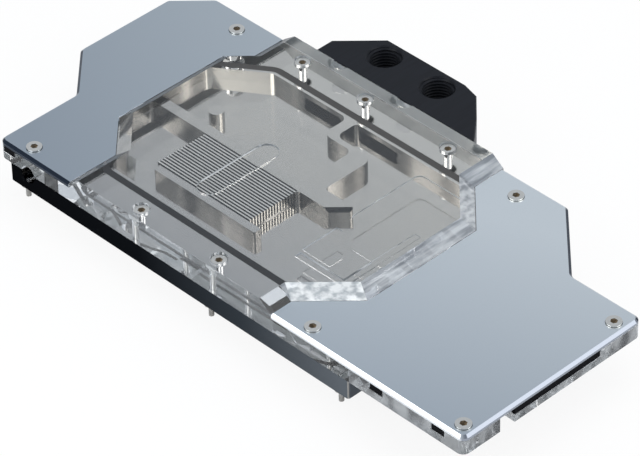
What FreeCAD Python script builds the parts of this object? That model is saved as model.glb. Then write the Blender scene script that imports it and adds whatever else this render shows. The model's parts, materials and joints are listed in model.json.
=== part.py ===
import FreeCAD, Part
import math
import os
import re
import Sketcher

# A liquid cooling cold plate for a graphics card, in millimetres.
# The origin is the middle of the face that presses on the chip, +Z is up through the plate,
# and X runs along the plate's long side.

SIZES = {
    # Levels, counted up from the face that presses on the chip
    "contact_step": 1.5,
    "plate_thickness": 8.0,
    "joint_film": 0.05,
    "ledge_thickness": 5.95,
    "cover_thickness": 2.0,
    "block_rise": 6.0,
    "bevel_rise": 4.0,
    "bevel_width": 5.5,
    "chamber_depth": 5.0,
    # Outline that the clear top and the two covers share
    "front_edge": 44.0,
    "back_edge": 72.0,
    "right_end": 162.0,
    "left_end": 75.0,
    "wing_end": 95.0,
    "wing_front": 6.0,
    "wing_back_cut": 13.5,
    "notch_edge": 44.7,
    "notch_corner": 129.0,
    "outline_round": 3.0,
    "cover_bevel": 1.0,
    "cover_gap": 0.25,
    # Raised middle of the clear top
    "block_left_front": 36.6,
    "block_left_waist": 20.7,
    "block_left": 52.7,
    "block_left_shoulder": 48.2,
    "block_left_back": 44.3,
    "block_right_front": 68.9,
    "block_right_waist": 34.0,
    "block_right": 87.6,
    "block_right_shoulder": 39.1,
    "block_right_back": 69.8,
    # Metal plate and the pad that presses on the chip
    "plate_left": 69.6,
    "plate_right": 107.0,
    "plate_back_cut": 8.0,
    "plate_round": 1.0,
    "pad_length": 44.0,
    "pad_width": 40.0,
    # Chamber cut into the plate
    "chamber_left": 54.0,
    "chamber_left_front": 36.0,
    "chamber_left_waist": 16.8,
    "chamber_left_shoulder": 41.0,
    "chamber_back_left": 33.2,
    "chamber_front": 25.0,
    "chamber_back": 55.3,
    "chamber_right": 84.0,
    "chamber_right_cut": 10.5,
    "chamber_back_cut": 17.0,
    "chamber_round": 3.75,
    # Ribs, ridge and post that stand in the chamber
    "rib_front_face": 12.5,
    "rib_thickness": 4.5,
    "rib_end": 45.4,
    "rib_end_thickness": 7.5,
    "rib_end_cut": 5.7,
    "rib_end_bevel": 1.4,
    "front_rib_left": 22.7,
    "front_rib_right": 30.5,
    "front_rib_thickness": 3.2,
    "rib_round": 1.0,
    "cutter_radius": 1.5,
    "ridge_stem_left": 6.3,
    "ridge_stem_width": 4.7,
    "ridge_bar_front": 42.5,
    "ridge_bar_width": 2.4,
    "ridge_leg_left": 21.7,
    "ridge_leg_width": 8.7,
    "ridge_stem_round": 4.0,
    "ridge_leg_round": 5.0,
    "ridge_inner_round": 3.2,
    "stem_web_radius": 3.0,
    "post_size": 6.0,
    "post_left": 32.0,
    "post_back": 25.0,
    # Fins over the chip
    "fin_left": 24.5,
    "fin_right": 24.0,
    "fin_front": 12.0,
    "fin_slit": 0.6,
    "fin_slit_count": 22,
    "fin_slit_depth": 4.4,
    # Seal around the chamber
    "seal_offset": 1.2,
    "seal_width": 3.0,
    "seal_height": 2.0,
    "seal_slack": 0.1,
    # Passages between the chamber and the port block
    "passage_width": 19.8,
    "passage_height": 2.9,
    "passage_drop": 2.1,
    "inlet_passage": 6.7,
    "outlet_passage": 22.5,
    # Port block
    "terminal_left": 27.0,
    "terminal_right": 55.0,
    "terminal_depth": 23.0,
    "terminal_left_slope": 15.0,
    "terminal_right_side": 45.6,
    "terminal_right_depth": 11.2,
    "terminal_facet": 36.0,
    "terminal_facet_depth": 21.0,
    "terminal_flat_end": 28.3,
    "terminal_foot": 1.5,
    "terminal_edge": 0.4,
    "port_size": 13.157,
    "port_mouth": 14.2,
    "port_depth": 11.5,
    "port_spacing": 27.5,
    "port_middle": 8.35,
    "port_back": 86.55,
    "port_channel": 9.0,
    # Channels and pockets in the underside of the clear top
    "jet_middle": -0.2,
    "jet_front": 13.0,
    "jet_back": 25.0,
    "jet_width": 9.6,
    "jet_depth": 1.0,
    "fence_width": 3.0,
    "fence_depth": 1.0,
    "fence_right": 73.6,
    "fence_front": 13.0,
    "fence_left": 50.5,
    "fence_back": 24.0,
    "pocket_left": 48.8,
    "pocket_right": 82.0,
    "pocket_front": 2.2,
    "pocket_back": 50.0,
    "pocket_cut": 13.2,
    "pocket_depth": 0.6,
    "pocket_round": 3.0,
    "side_pocket_left": 49.5,
    "side_pocket_right": 63.5,
    "side_pocket_front": 10.0,
    "side_pocket_back": 7.3,
    "side_pocket_cut": 11.0,
    # Recesses along the edge of the clear top, the front ones counted in from its ends
    "light_slot_height": 3.0,
    "light_slot_depth": 6.0,
    "light_slot_width": 6.6,
    "left_slot": 5.3,
    "inner_slot": 41.6,
    "outer_slot": 12.3,
    "end_slot_front": 19.0,
    "end_slot_back": 24.0,
    "end_slot_depth": 5.0,
    "end_notch_front": 26.2,
    "end_notch_depth": 9.0,
    "strip_thickness": 1.6,
    "strip_slack": 0.3,
    "side_bore": 7.2,
    "side_bore_depth": 8.0,
    "side_bore_left": 59.6,
    "side_bore_level": 8.9,
    # Wells without a screw in the clear top
    "edge_well_size": 7.0,
    "edge_well_depth": 0.5,
    "edge_well_left": 14.1,
    "edge_well_right": 19.8,
    "wing_well_size": 8.2,
    "wing_well_depth": 2.5,
    "wing_well_left": 50.9,
    "wing_well_back": 51.7,
    # Screws
    "shank_size": 3.0,
    "shank_slack": 0.1,
    "pass_hole": 3.4,
    "cover_head_size": 6.0,
    "cover_head_height": 1.6,
    "cover_sink": 1.0,
    "head_slack": 0.3,
    "top_head_size": 5.7,
    "top_head_height": 2.0,
    "top_head_drop": 0.8,
    "top_screw_grip": 5.5,
    "hole_end_gap": 0.3,
    "well_size": 6.6,
    "socket_size": 2.5,
    "socket_depth": 1.2,
    "front_screw_line": 38.6,
    "back_screw_line": 63.4,
    "front_screw_left": 3.2,
    "front_screw_right": 37.2,
    "back_screw_left": 25.7,
    "back_screw_middle": 7.5,
    "back_screw_right": 50.1,
    "left_cover_screw_front": 13.5,
    "left_cover_screw_back": 33.5,
    "right_cover_screw": 84.3,
    "right_cover_screw_inset": 5.2,
    "right_cover_screw_back": 36.0,
    # Standoffs under the plate
    "standoff_size": 5.0,
    "standoff_height": 4.0,
    "standoff_stem": 2.0,
    "standoff_stem_length": 5.0,
    "standoff_left": 66.8,
    "standoff_middle": 32.0,
    "standoff_right": 98.0,
    "standoff_back_line": 66.0,
}

PLATE_TOP = "(contact_step + plate_thickness)"
CLEAR_BOTTOM = "(contact_step + plate_thickness + joint_film)"
LEDGE_TOP = "(contact_step + plate_thickness + joint_film + ledge_thickness)"
COVER_BOTTOM = "(contact_step + plate_thickness + 2 * joint_film + ledge_thickness)"
COVER_TOP = "(contact_step + plate_thickness + 2 * joint_film + ledge_thickness + cover_thickness)"
BLOCK_TOP = "(contact_step + plate_thickness + joint_film + ledge_thickness + block_rise)"
FLOOR = "(contact_step + plate_thickness - chamber_depth)"
PASSAGE_MIDDLE = "(contact_step + plate_thickness - passage_drop - passage_height / 2)"

# A side that moves straight in by 1 takes a corner with a 45 degree side along by this much.
MITRE = math.sqrt(2) - 1

# Two places or levels closer than this are the same one.
CLOSE = 0.01

doc = FreeCAD.newDocument("ColdPlate")


def write_sheet(sizes):
    """The spreadsheet with one named cell for each driving size."""
    table = doc.addObject("Spreadsheet::Sheet", "Sizes")
    for row, (name, size) in enumerate(sizes.items(), start=1):
        table.set("A%d" % row, name)
        table.set("B%d" % row, str(size))
        table.setAlias("B%d" % row, name)
    doc.recompute()
    return table


sheet = write_sheet(SIZES)


def bound(expression):
    """The expression with each size's name led by the name of the sheet."""
    return re.sub(r"[a-z_]+", lambda word: "Sizes." + word.group() if word.group() in SIZES
                  else word.group(), str(expression))


def value(expression):
    """The number that an expression of sizes comes to."""
    return float(sheet.evalExpression(str(expression)))


def origin_plane(body, role):
    """The body's own origin plane with this role."""
    for feature in body.Origin.OriginFeatures:
        if feature.Role == role:
            return feature
    raise ValueError("no plane " + role)


def new_body(label):
    """An empty body whose label is the name of the piece."""
    body = doc.addObject("PartDesign::Body", label)
    body.Label = label
    return body


def flat_sketch(body, name, level):
    """An empty level sketch in the body, at the height that the expression gives."""
    sketch = body.newObject("Sketcher::SketchObject", name)
    sketch.AttachmentSupport = [(origin_plane(body, "XY_Plane"), "")]
    sketch.MapMode = "FlatFace"
    sketch.setExpression("AttachmentOffset.Base.z", bound(level))
    return sketch


def upright_sketch(body, name, back):
    """An empty upright sketch in the body that faces the front, at y = back."""
    sketch = body.newObject("Sketcher::SketchObject", name)
    sketch.AttachmentSupport = [(origin_plane(body, "XZ_Plane"), "")]
    sketch.MapMode = "FlatFace"
    sketch.setExpression("AttachmentOffset.Base.z", bound("-(%s)" % back))
    return sketch


def pin(sketch, kind, line, end, expression):
    """Holds one end of a line at a distance from the origin that follows the sheet."""
    number = sketch.addConstraint(
        Sketcher.Constraint(kind, -1, 1, line, end, value(expression)))
    sketch.setExpression("Constraints[%d]" % number, bound(expression))


def draw_outline(sketch, corners):
    """A closed outline through the corners, each an x and a y expression."""
    places = [FreeCAD.Vector(value(x), value(y), 0) for x, y in corners]
    first = sketch.GeometryCount
    count = len(corners)
    for index in range(count):
        sketch.addGeometry(Part.LineSegment(places[index], places[(index + 1) % count]))
    joints = [Sketcher.Constraint("Coincident", first + index, 2, first + (index + 1) % count, 1)
              for index in range(count)]
    sketch.addConstraint(joints)
    for index, (x, y) in enumerate(corners):
        pin(sketch, "DistanceX", first + index, 1, x)
        pin(sketch, "DistanceY", first + index, 1, y)


def draw_circle(sketch, x, y, size):
    """A circle of this diameter about the place."""
    centre = FreeCAD.Vector(value(x), value(y), 0)
    circle = sketch.addGeometry(
        Part.Circle(centre, FreeCAD.Vector(0, 0, 1), value(size) / 2))
    pin(sketch, "DistanceX", circle, 3, x)
    pin(sketch, "DistanceY", circle, 3, y)
    number = sketch.addConstraint(Sketcher.Constraint("Diameter", circle, value(size)))
    sketch.setExpression("Constraints[%d]" % number, bound(size))


def draw_slot(sketch, start, end, centre, size, along="x"):
    """A slot with round ends from start to end, which are its outer limits."""
    half = "((%s) / 2)" % size
    near = "(%s + %s)" % (start, half)
    far = "(%s - %s)" % (end, half)
    low, high, middle, radius = value(near), value(far), value(centre), value(half)
    if along == "x":
        place = lambda run, side: FreeCAD.Vector(run, side, 0)
        kinds = ("DistanceX", "DistanceY")
        turn = 90
    else:
        place = lambda run, side: FreeCAD.Vector(side, run, 0)
        kinds = ("DistanceY", "DistanceX")
        turn = 180
    up = FreeCAD.Vector(0, 0, 1)
    sides = [
        Part.LineSegment(place(low, middle + radius), place(high, middle + radius)),
        Part.LineSegment(place(low, middle - radius), place(high, middle - radius)),
    ]
    half_turn = math.radians(turn)
    caps = [
        Part.ArcOfCircle(Part.Circle(place(low, middle), up, radius),
                         half_turn, half_turn + math.pi),
        Part.ArcOfCircle(Part.Circle(place(high, middle), up, radius),
                         half_turn + math.pi, half_turn + 2 * math.pi),
    ]
    if along == "x":
        joins = [(2, 1, 0, 1), (2, 2, 1, 1), (3, 1, 1, 2), (3, 2, 0, 2)]
    else:
        joins = [(2, 2, 0, 1), (2, 1, 1, 1), (3, 2, 1, 2), (3, 1, 0, 2)]
    first = sketch.GeometryCount
    for part in sides + caps:
        sketch.addGeometry(part)
    for one, one_end, other, other_end in joins:
        sketch.addConstraint(Sketcher.Constraint(
            "Tangent", first + one, one_end, first + other, other_end))
    pin(sketch, kinds[0], first + 2, 3, near)
    pin(sketch, kinds[1], first + 2, 3, centre)
    pin(sketch, kinds[0], first + 3, 3, far)
    number = sketch.addConstraint(Sketcher.Constraint("Radius", first + 2, radius))
    sketch.setExpression("Constraints[%d]" % number, bound(half))
    level = "Horizontal" if along == "x" else "Vertical"
    sketch.addConstraint(Sketcher.Constraint(level, first))


def add_pad(body, name, sketch, length, downward=False):
    """Adds the sketch's area up, or down, by the length."""
    pad = body.newObject("PartDesign::Pad", name)
    pad.Profile = sketch
    pad.Reversed = downward
    pad.setExpression("Length", bound(length))
    return pad


def add_pocket(body, name, sketch, depth, other_way=False):
    """Cuts the sketch's area away against the sketch's normal, or the other way."""
    pocket = body.newObject("PartDesign::Pocket", name)
    pocket.Profile = sketch
    pocket.Reversed = other_way
    pocket.setExpression("Length", bound(depth))
    return pocket


def upright_edges(shape, corners):
    """The names of the upright edges at these corners."""
    places = [(value(x), value(y)) for x, y in corners]
    names = []
    for number, edge in enumerate(shape.Edges, start=1):
        ends = [vertex.Point for vertex in edge.Vertexes]
        if len(ends) != 2 or abs(ends[0].z - ends[1].z) < CLOSE:
            continue
        if math.hypot(ends[0].x - ends[1].x, ends[0].y - ends[1].y) > CLOSE:
            continue
        if any(math.hypot(ends[0].x - x, ends[0].y - y) < CLOSE for x, y in places):
            names.append("Edge%d" % number)
    return names


def add_fillet(body, name, base, corners, radius):
    """Rounds the upright edges at these corners."""
    doc.recompute()
    fillet = body.newObject("PartDesign::Fillet", name)
    fillet.Base = (base, upright_edges(base.Shape, corners))
    fillet.setExpression("Radius", bound(radius))
    return fillet


def outer_outline():
    """The corners of the outline that the clear top and the covers share."""
    return [
        ("-left_end", "-front_edge"),
        ("right_end", "-front_edge"),
        ("right_end", "notch_edge"),
        ("notch_corner", "notch_edge"),
        ("notch_corner - (back_edge - notch_edge)", "back_edge"),
        ("-(wing_end - wing_back_cut)", "back_edge"),
        ("-wing_end", "back_edge - wing_back_cut"),
        ("-wing_end", "wing_end - left_end - wing_front"),
        ("-left_end", "-wing_front"),
    ]


def block_right_side(inset):
    """The raised middle's right side, front to back, moved in by the inset."""
    shift = "%s * %r" % (inset, MITRE)
    return [
        ("block_right_front - (%s)" % inset, "-front_edge"),
        ("block_right_front - (%s)" % inset, "-block_right_waist + (%s)" % shift),
        ("block_right - (%s)" % inset,
         "-block_right_waist + block_right - block_right_front + (%s)" % shift),
        ("block_right - (%s)" % inset, "block_right_shoulder - (%s)" % shift),
        ("block_right_back - (%s)" % inset,
         "block_right_shoulder + block_right - block_right_back - (%s)" % shift),
        ("block_right_back - (%s)" % inset, "back_edge"),
    ]


def block_left_side(inset):
    """The raised middle's left side, back to front, moved in by the inset."""
    shift = "%s * %r" % (inset, MITRE)
    return [
        ("-block_left_back + (%s)" % inset, "back_edge"),
        ("-block_left_back + (%s)" % inset,
         "block_left_shoulder + block_left - block_left_back - (%s)" % shift),
        ("-block_left + (%s)" % inset, "block_left_shoulder - (%s)" % shift),
        ("-block_left + (%s)" % inset,
         "-block_left_waist + block_left - block_left_front + (%s)" % shift),
        ("-block_left_front + (%s)" % inset, "-block_left_waist + (%s)" % shift),
        ("-block_left_front + (%s)" % inset, "-front_edge"),
    ]


TOP_SCREWS = {
    "top_screw_front_left": ("-front_screw_left", "-front_screw_line"),
    "top_screw_front_right": ("front_screw_right", "-front_screw_line"),
    "top_screw_back_left": ("-back_screw_left", "back_screw_line"),
    "top_screw_back_middle": ("back_screw_middle", "back_screw_line"),
    "top_screw_back_right": ("back_screw_right", "back_screw_line"),
}

LEFT_COVER_SCREWS = [
    ("left_cover_screw_front - left_end", "-front_screw_line"),
    ("left_cover_screw_back - wing_end", "back_screw_line"),
]

RIGHT_COVER_SCREWS = [
    ("right_cover_screw", "-front_screw_line"),
    ("right_end - right_cover_screw_inset", "-front_screw_line"),
    ("right_end - right_cover_screw_inset", "right_cover_screw_back"),
    ("right_cover_screw", "back_screw_line"),
]

STANDOFFS = {
    "standoff_front_left": ("-standoff_left", "-front_screw_line"),
    "standoff_front_middle": ("standoff_middle", "-front_screw_line"),
    "standoff_front_right": ("standoff_right", "-front_screw_line"),
    "standoff_back_left": ("-standoff_left", "standoff_back_line"),
    "standoff_back_middle": ("standoff_middle", "standoff_back_line"),
    "standoff_back_right": ("standoff_right", "standoff_back_line"),
}

FRONT_SLOTS = {
    "light_strip_left": "left_slot - left_end",
    "light_strip_inner": "right_end - inner_slot",
    "light_strip_outer": "right_end - outer_slot",
}

PASSAGES = ["-inlet_passage", "outlet_passage"]


def rectangle(left, front, right, back):
    """The four corners of a level rectangle."""
    return [(left, front), (right, front), (right, back), (left, back)]


def chamber_outline():
    """The sharp corners of the chamber, before they are rounded."""
    return [
        ("-chamber_left_front", "-chamber_front"),
        ("chamber_right - chamber_right_cut", "-chamber_front"),
        ("chamber_right", "chamber_right_cut - chamber_front"),
        ("chamber_right", "chamber_back - chamber_back_cut"),
        ("chamber_right - chamber_back_cut", "chamber_back"),
        ("-chamber_back_left", "chamber_back"),
        ("-chamber_left", "chamber_left_shoulder"),
        ("-chamber_left", "chamber_left - chamber_left_front - chamber_left_waist"),
        ("-chamber_left_front", "-chamber_left_waist"),
    ]


def offset_outline(name, source, distance, join):
    """An outline that runs beside the source: join 0 rounds the corners, 2 keeps them."""
    outline = doc.addObject("Part::Offset2D", name)
    outline.Source = source
    outline.Join = join
    outline.setExpression("Value", bound(distance))
    return outline


def raised(name, source, level, height):
    """A solid from a level outline, between a level and a height above it."""
    solid = doc.addObject("Part::Extrusion", name)
    solid.Base = source
    solid.DirMode = "Custom"
    solid.Dir = FreeCAD.Vector(0, 0, 1)
    solid.Solid = True
    solid.setExpression("LengthFwd", bound(height))
    solid.setExpression("Placement.Base.z", bound(level))
    return solid


def cut_away(name, base, tool):
    """The base without the tool."""
    result = doc.addObject("Part::Cut", name)
    result.Base = base
    result.Tool = tool
    return result


def join_all(name, pieces):
    """The pieces as one solid."""
    result = doc.addObject("Part::MultiFuse", name)
    result.Shapes = pieces
    result.Refine = True
    return result


def plate_blank():
    """The plate with the pad for the chip, the passages, the screw holes and the side bore."""
    body = new_body("plate_blank")
    outline = flat_sketch(body, "plate_outline", "contact_step")
    corners = [
        ("-plate_left", "-front_edge"),
        ("plate_right", "-front_edge"),
        ("plate_right", "back_edge - plate_back_cut"),
        ("plate_right - plate_back_cut", "back_edge"),
        ("-plate_left", "back_edge"),
    ]
    draw_outline(outline, corners)
    plate = add_pad(body, "plate_body", outline, "plate_thickness")
    add_fillet(body, "plate_corners", plate, corners, "plate_round")

    pad_outline = flat_sketch(body, "contact_outline", "contact_step")
    pad_corners = rectangle("-pad_length / 2", "-pad_width / 2", "pad_length / 2", "pad_width / 2")
    draw_outline(pad_outline, pad_corners)
    add_pad(body, "contact_pad", pad_outline, "contact_step", downward=True)

    screws = flat_sketch(body, "top_screw_places", PLATE_TOP)
    for x, y in TOP_SCREWS.values():
        draw_circle(screws, x, y, "shank_size + shank_slack")
    add_pocket(body, "top_screw_holes", screws, "top_screw_grip + hole_end_gap")

    passages = upright_sketch(body, "passage_outline", "chamber_back - chamber_round")
    for x in PASSAGES:
        draw_slot(passages, "%s - passage_width / 2" % x, "%s + passage_width / 2" % x,
                  PASSAGE_MIDDLE, "passage_height")
    add_pocket(body, "passages", passages, "back_edge - chamber_back + 2 * chamber_round")

    bore = upright_sketch(body, "side_bore_place", "-front_edge")
    draw_circle(bore, "-side_bore_left", "side_bore_level", "side_bore")
    add_pocket(body, "side_bore", bore, "side_bore_depth")
    return body


def chamber_ribs():
    """The rib behind the fins, with its wide end cut at 45 degrees and bevelled on top."""
    body = new_body("rib_body")
    outline = flat_sketch(body, "rib_outline", FLOOR)
    back = "rib_front_face + rib_thickness"
    end_back = "rib_front_face + rib_end_thickness"
    corners = [
        ("-chamber_left - chamber_round / 4", "rib_front_face"),
        ("rib_end - rib_end_cut", "rib_front_face"),
        ("rib_end", "rib_front_face + rib_end_cut"),
        ("rib_end", end_back),
        ("ridge_leg_left", end_back),
        ("ridge_leg_left", back),
        ("-chamber_left - chamber_round / 4", back),
    ]
    draw_outline(outline, corners)
    pad = add_pad(body, "rib", outline, "chamber_depth")
    rounded = add_fillet(body, "rib_end_rounding", pad, corners[3:4], "rib_round")
    doc.recompute()
    names = []
    for number, edge in enumerate(rounded.Shape.Edges, start=1):
        middle = edge.valueAt((edge.FirstParameter + edge.LastParameter) / 2)
        if (abs(middle.x - value("rib_end - rib_end_cut / 2")) < CLOSE
                and abs(middle.z - value(PLATE_TOP)) < CLOSE):
            names.append("Edge%d" % number)
    bevel = body.newObject("PartDesign::Chamfer", "rib_end_bevel")
    bevel.Base = (rounded, names)
    bevel.setExpression("Size", bound("rib_end_bevel"))
    return body


def front_rib():
    """The rib in front of the fins."""
    body = new_body("front_rib_body")
    outline = flat_sketch(body, "front_rib_outline", FLOOR)
    corners = rectangle("-front_rib_left", "-fin_front - front_rib_thickness",
                        "front_rib_right", "-fin_front")
    draw_outline(outline, corners)
    pad = add_pad(body, "front_rib", outline, "chamber_depth")
    add_fillet(body, "front_rib_rounding", pad, corners[:2], "rib_round")
    return body


def flow_ridge():
    """The S-shaped ridge from the back wall to the rib, which parts the two flows."""
    body = new_body("ridge_body")
    outline = flat_sketch(body, "ridge_outline", FLOOR)
    wall = "chamber_back + chamber_round / 4"
    bar_back = "ridge_bar_front + ridge_bar_width"
    stem_right = "ridge_stem_left + ridge_stem_width"
    leg_right = "ridge_leg_left + ridge_leg_width"
    foot = "rib_front_face + rib_thickness / 2"
    corners = [
        ("ridge_stem_left", "ridge_bar_front"),
        ("ridge_leg_left", "ridge_bar_front"),
        ("ridge_leg_left", foot),
        (leg_right, foot),
        (leg_right, bar_back),
        (stem_right, bar_back),
        (stem_right, wall),
        ("ridge_stem_left", wall),
    ]
    draw_outline(outline, corners)
    pad = add_pad(body, "ridge", outline, "chamber_depth")
    stem = add_fillet(body, "ridge_stem_rounding", pad, [corners[0]], "ridge_stem_round")
    leg = add_fillet(body, "ridge_leg_rounding", stem, [corners[4]], "ridge_leg_round")
    add_fillet(body, "ridge_inner_rounding", leg, [corners[1], corners[5]], "ridge_inner_round")
    return body


def fin_block():
    """The fins over the chip: a block with a row of slits across it."""
    body = new_body("fin_body")
    outline = flat_sketch(body, "fin_outline", FLOOR)
    draw_outline(outline, rectangle("-fin_left", "-fin_front", "fin_right", "rib_front_face"))
    add_pad(body, "fin_solid", outline, "chamber_depth")
    slit = flat_sketch(body, "slit_outline", PLATE_TOP)
    draw_outline(slit, rectangle("-fin_left - fin_slit", "-fin_front",
                                 "fin_right + fin_slit", "fin_slit - fin_front"))
    first = add_pocket(body, "slit", slit, "fin_slit_depth")
    row = body.newObject("PartDesign::LinearPattern", "slit_row")
    row.Originals = [first]
    row.Direction = (slit, ["V_Axis"])
    row.setExpression("Length", bound("fin_front + rib_front_face - fin_slit"))
    row.setExpression("Occurrences", bound("fin_slit_count"))
    body.Tip = row
    return body


def flow_post():
    """The round post in the outlet side of the chamber."""
    post = doc.addObject("Part::Cylinder", "flow_post")
    post.setExpression("Radius", bound("post_size / 2"))
    post.setExpression("Height", bound("chamber_depth"))
    post.setExpression("Placement.Base.x", bound("-post_left"))
    post.setExpression("Placement.Base.y", bound("post_back"))
    post.setExpression("Placement.Base.z", bound(FLOOR))
    return post


def corner_web(name, x, y, across, along, radius="cutter_radius"):
    """The metal that the cutter leaves in an inside corner open to the two directions."""
    far_x = "%s + %d * %s" % (x, across, radius)
    far_y = "%s + %d * %s" % (y, along, radius)
    outline = doc.addObject("Sketcher::SketchObject", name + "_outline")
    draw_outline(outline, rectangle(x, y, far_x, far_y))
    block = raised(name + "_block", outline, FLOOR, "chamber_depth")
    cutter = doc.addObject("Part::Cylinder", name + "_cutter")
    cutter.setExpression("Radius", bound(radius))
    cutter.setExpression("Height", bound("chamber_depth"))
    cutter.setExpression("Placement.Base.x", bound(far_x))
    cutter.setExpression("Placement.Base.y", bound(far_y))
    cutter.setExpression("Placement.Base.z", bound(FLOOR))
    return cut_away(name, block, cutter)


def corner_webs():
    """The rounded inside corners where the ribs and the ridge meet the walls and each other."""
    rib_back = "rib_front_face + rib_thickness"
    return [
        corner_web("rib_wall_front_web", "-chamber_left", "rib_front_face", 1, -1),
        corner_web("rib_wall_back_web", "-chamber_left", rib_back, 1, 1),
        corner_web("fin_rib_web", "fin_right", "rib_front_face", 1, -1),
        corner_web("stem_left_web", "ridge_stem_left", "chamber_back", -1, -1, "stem_web_radius"),
        corner_web("stem_right_web", "ridge_stem_left + ridge_stem_width", "chamber_back", 1, -1),
        corner_web("leg_left_web", "ridge_leg_left", rib_back, -1, 1),
        corner_web("leg_right_web", "ridge_leg_left + ridge_leg_width",
                   "rib_front_face + rib_end_thickness", 1, 1),
    ]


def chamber_edges():
    """The rounded outlines of the chamber and of the groove round it."""
    sharp = doc.addObject("Sketcher::SketchObject", "chamber_sharp_outline")
    draw_outline(sharp, chamber_outline())
    core = offset_outline("chamber_core", sharp, "-chamber_round", 2)
    wall = offset_outline("chamber_wall", core, "chamber_round", 0)
    inner = offset_outline("groove_inner", core, "chamber_round + seal_offset", 0)
    outer = offset_outline("groove_outer", core, "chamber_round + seal_offset + seal_width", 0)
    seal_inner = offset_outline("seal_inner", core,
                                "chamber_round + seal_offset + seal_slack", 0)
    seal_outer = offset_outline("seal_outer", core,
                                "chamber_round + seal_offset + seal_width - seal_slack", 0)
    return wall, inner, outer, seal_inner, seal_outer


def cold_plate(wall, inner, outer):
    """The plate with its chamber, groove, ribs, ridge, post and fins."""
    space = raised("chamber_space", wall, FLOOR, "chamber_depth + joint_film")
    groove_level = "%s - seal_height" % PLATE_TOP
    groove_out = raised("groove_out", outer, groove_level, "seal_height + joint_film")
    groove_in = raised("groove_in", inner, groove_level, "seal_height + joint_film")
    groove = cut_away("groove", groove_out, groove_in)
    hollow = cut_away("plate_with_chamber", plate_blank(), space)
    grooved = cut_away("plate_with_groove", hollow, groove)
    pieces = [grooved, chamber_ribs(), front_rib(), flow_ridge(), fin_block(), flow_post()]
    plate = join_all("cold_plate", pieces + corner_webs())
    plate.Label = "cold_plate"
    return plate


def main_gasket(inner, outer):
    """The seal in the groove, up to the underside of the clear top."""
    level = "%s - seal_height" % PLATE_TOP
    out = raised("gasket_out", outer, level, "seal_height + joint_film")
    hole = raised("gasket_hole", inner, level, "seal_height + joint_film")
    gasket = cut_away("main_gasket", out, hole)
    gasket.Label = "main_gasket"
    return gasket


def clear_top():
    """The clear top: a ledge under the covers and a raised middle with bevelled ends."""
    body = new_body("clear_top")
    outline = flat_sketch(body, "ledge_outline", CLEAR_BOTTOM)
    draw_outline(outline, outer_outline())
    ledge = add_pad(body, "ledge", outline, "ledge_thickness")
    add_fillet(body, "ledge_corners", ledge, outer_outline(), "outline_round")

    foot = flat_sketch(body, "block_outline", LEDGE_TOP)
    draw_outline(foot, block_right_side("0") + block_left_side("0"))
    add_pad(body, "block_foot", foot, "block_rise - bevel_rise")

    low = flat_sketch(body, "bevel_low_outline", "%s - bevel_rise" % BLOCK_TOP)
    draw_outline(low, block_right_side("0") + block_left_side("0"))
    high = flat_sketch(body, "bevel_high_outline", BLOCK_TOP)
    draw_outline(high, block_right_side("bevel_width") + block_left_side("bevel_width"))
    bevel = body.newObject("PartDesign::AdditiveLoft", "bevelled_block")
    bevel.Profile = low
    bevel.Sections = [high]
    bevel.Ruled = True

    holes = flat_sketch(body, "top_screw_passes", BLOCK_TOP)
    wells = flat_sketch(body, "top_screw_well_places", BLOCK_TOP)
    for x, y in TOP_SCREWS.values():
        draw_circle(holes, x, y, "pass_hole")
        draw_circle(wells, x, y, "well_size")
    add_pocket(body, "top_screw_pass_holes", holes, "ledge_thickness + 2 * block_rise")
    add_pocket(body, "top_screw_wells", wells, "top_head_drop + top_head_height")

    edge_wells = flat_sketch(body, "edge_well_places", BLOCK_TOP)
    draw_circle(edge_wells, "-edge_well_left", "back_edge", "edge_well_size")
    draw_circle(edge_wells, "edge_well_right", "back_edge", "edge_well_size")
    add_pocket(body, "edge_wells", edge_wells, "edge_well_depth")
    wing_well = flat_sketch(body, "wing_well_place", BLOCK_TOP)
    draw_circle(wing_well, "-wing_well_left", "wing_well_back", "wing_well_size")
    add_pocket(body, "wing_well", wing_well, "block_rise + wing_well_depth")

    cut_underside(body)
    cut_edge_recesses(body)
    return body


def cut_underside(body):
    """The channel over the fins, the two pockets over the outlet and the bent groove."""
    jet = flat_sketch(body, "jet_outline", CLEAR_BOTTOM)
    draw_slot(jet, "-jet_front", "jet_back", "jet_middle", "jet_width", along="y")
    add_pocket(body, "jet_channel", jet, "jet_depth", other_way=True)

    pocket = flat_sketch(body, "pocket_outline", CLEAR_BOTTOM)
    corners = [
        ("pocket_left", "pocket_front + pocket_cut"),
        ("pocket_left + pocket_cut", "pocket_front"),
        ("pocket_right", "pocket_front"),
        ("pocket_right", "chamber_back - chamber_back_cut"),
        ("pocket_right + chamber_back - chamber_back_cut - pocket_back", "pocket_back"),
        ("pocket_left", "pocket_back"),
    ]
    draw_outline(pocket, corners)
    recess = add_pocket(body, "outlet_pocket", pocket, "pocket_depth", other_way=True)
    add_fillet(body, "pocket_corners", recess, corners, "pocket_round")

    side_pocket = flat_sketch(body, "side_pocket_outline", CLEAR_BOTTOM)
    side_corners = [
        ("side_pocket_left", "-side_pocket_front"),
        ("side_pocket_right", "-side_pocket_front"),
        ("side_pocket_right", "side_pocket_back - side_pocket_cut"),
        ("side_pocket_right - side_pocket_cut", "side_pocket_back"),
        ("side_pocket_left", "side_pocket_back"),
    ]
    draw_outline(side_pocket, side_corners)
    add_pocket(body, "side_pocket", side_pocket, "pocket_depth", other_way=True)

    fence = flat_sketch(body, "fence_outline", CLEAR_BOTTOM)
    draw_outline(fence, [
        ("fence_left", "-fence_front - fence_width / 2"),
        ("fence_right + fence_width / 2", "-fence_front - fence_width / 2"),
        ("fence_right + fence_width / 2", "fence_back"),
        ("fence_right - fence_width / 2", "fence_back"),
        ("fence_right - fence_width / 2", "-fence_front + fence_width / 2"),
        ("fence_left", "-fence_front + fence_width / 2"),
    ])
    add_pocket(body, "bent_groove", fence, "fence_depth", other_way=True)


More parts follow.
